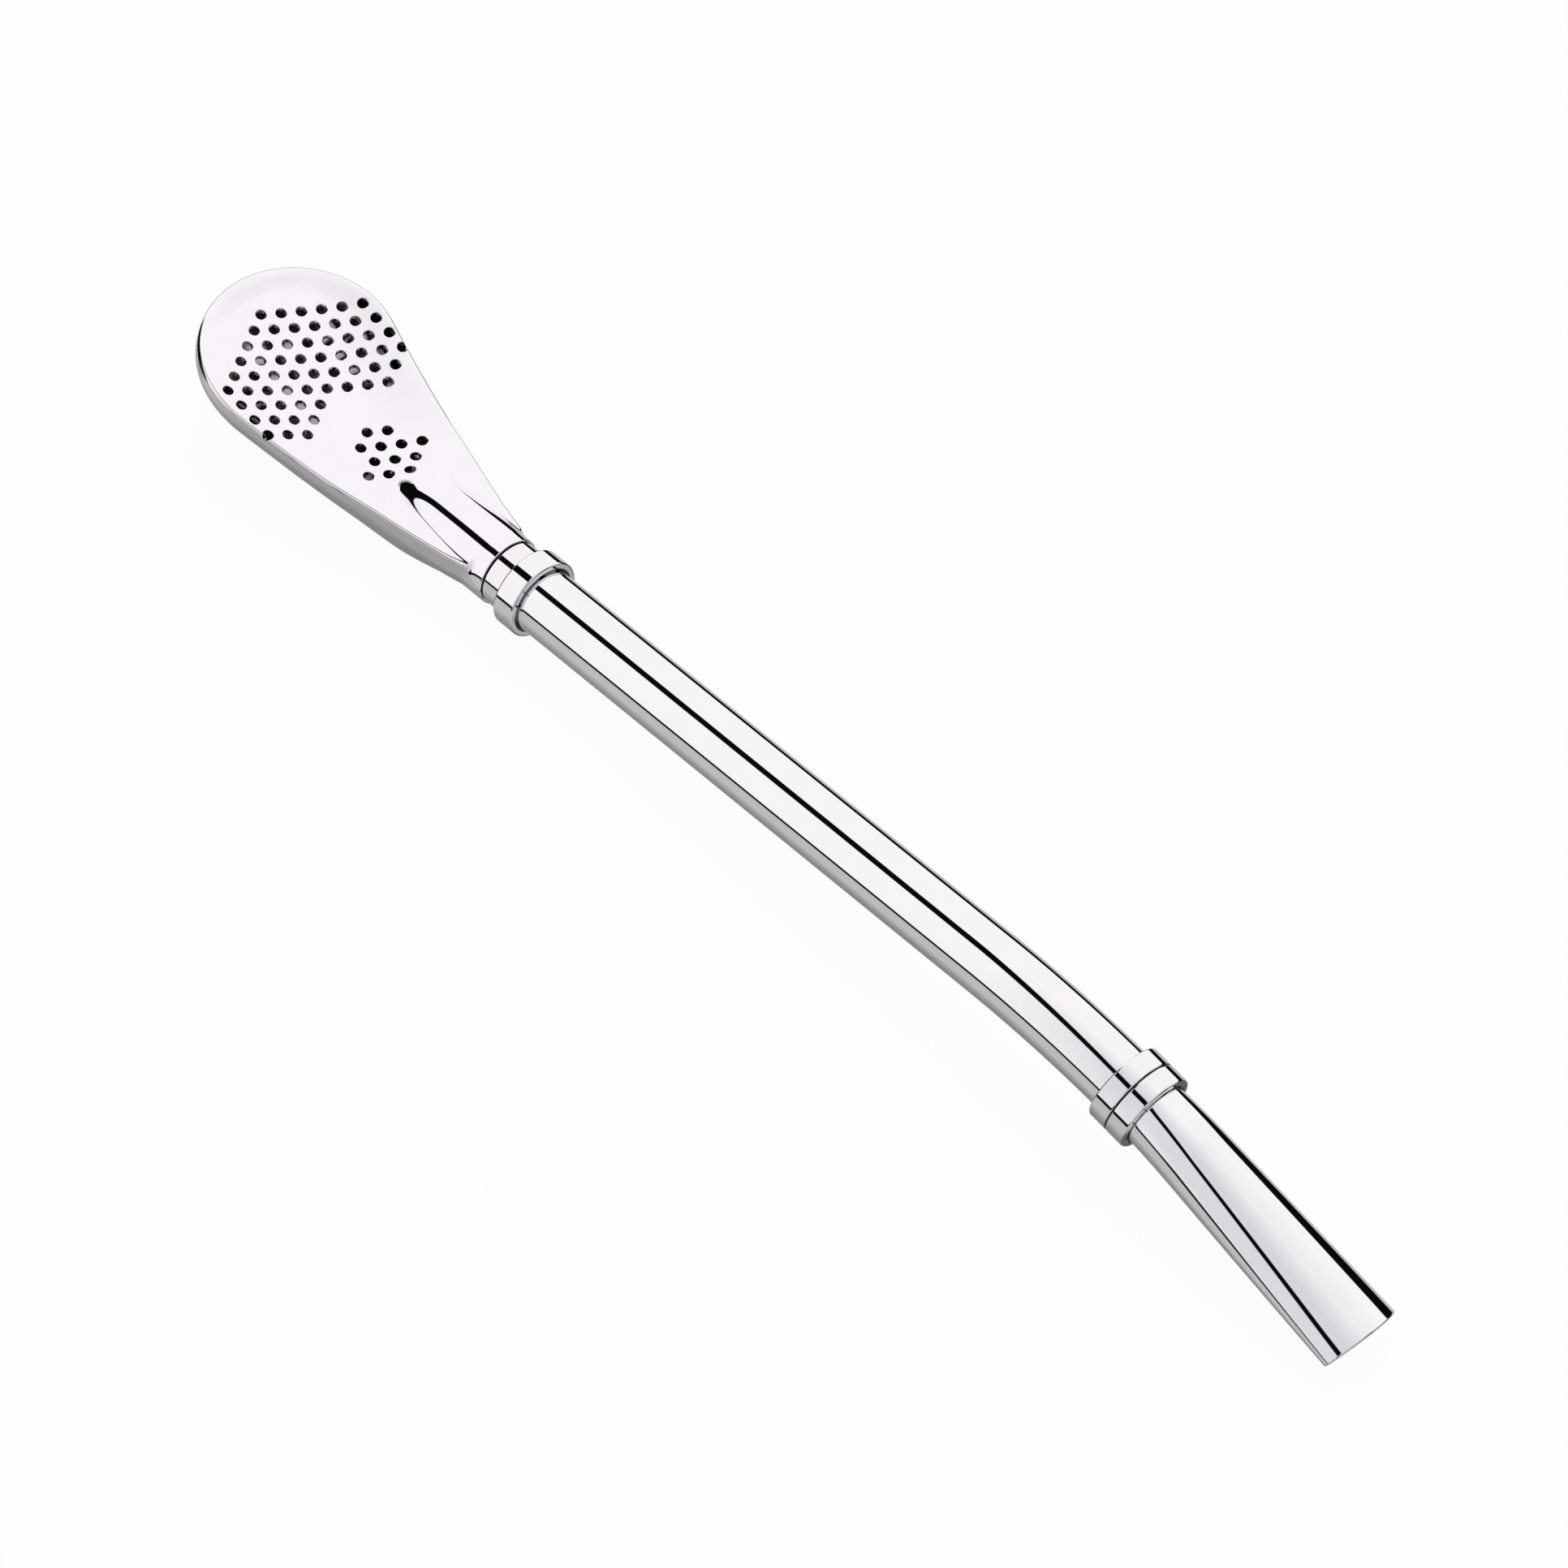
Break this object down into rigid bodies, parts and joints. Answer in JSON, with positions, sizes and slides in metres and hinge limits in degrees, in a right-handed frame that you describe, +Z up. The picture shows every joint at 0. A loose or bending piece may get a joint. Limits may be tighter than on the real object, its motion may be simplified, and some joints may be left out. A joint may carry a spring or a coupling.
{
  "type": "filter straw",
  "caption": "Stainless steel filter straw for mate: a pierced spoon strainer screws onto a bent drinking tube with ringed joints and a flattened mouthpiece.",
  "frame": {"origin": "on the surface that the straw lies on, under the middle of its outer box", "axes": "+X from the strainer's tip to the mouth, +Y across the strainer, +Z up with the pierced plate on top"},
  "size_m": [0.1556, 0.0202, 0.013],
  "materials": {
    "polished_steel": "mirror polished stainless steel",
    "drawn_steel": "bright drawn and polished stainless steel tube",
    "turned_steel": "turned stainless steel with fine tool marks"
  },
  "bodies": {
    "stem": {"threaded_stud": "turned_steel", "ferrule_ring": "polished_steel", "stem_tube": "drawn_steel", "stem_ring": "polished_steel", "mouthpiece_ring": "polished_steel", "joint_sleeve": "turned_steel", "mouthpiece": "drawn_steel"},
    "bush": {"neck_bush": "turned_steel"},
    "strainer": {"strainer_face": "polished_steel", "strainer_back": "polished_steel"}
  },
  "joints": [
    {"name": "strainer_advance", "type": "slide", "parent": "stem", "child": "bush", "axis": [-0.9978, 0, -0.0664], "range_m": [0, 0.0048]},
    {"name": "strainer_turn", "type": "hinge", "parent": "bush", "child": "strainer", "pos_m": [-0.03741, 0, 0.00499], "axis": [-0.9978, 0, -0.0664], "range_deg": [0, 2160]}
  ],
  "couplings": [
    {"joint": "strainer_advance", "follows": "strainer_turn", "m_per_rad": 0.00012732}
  ]
}
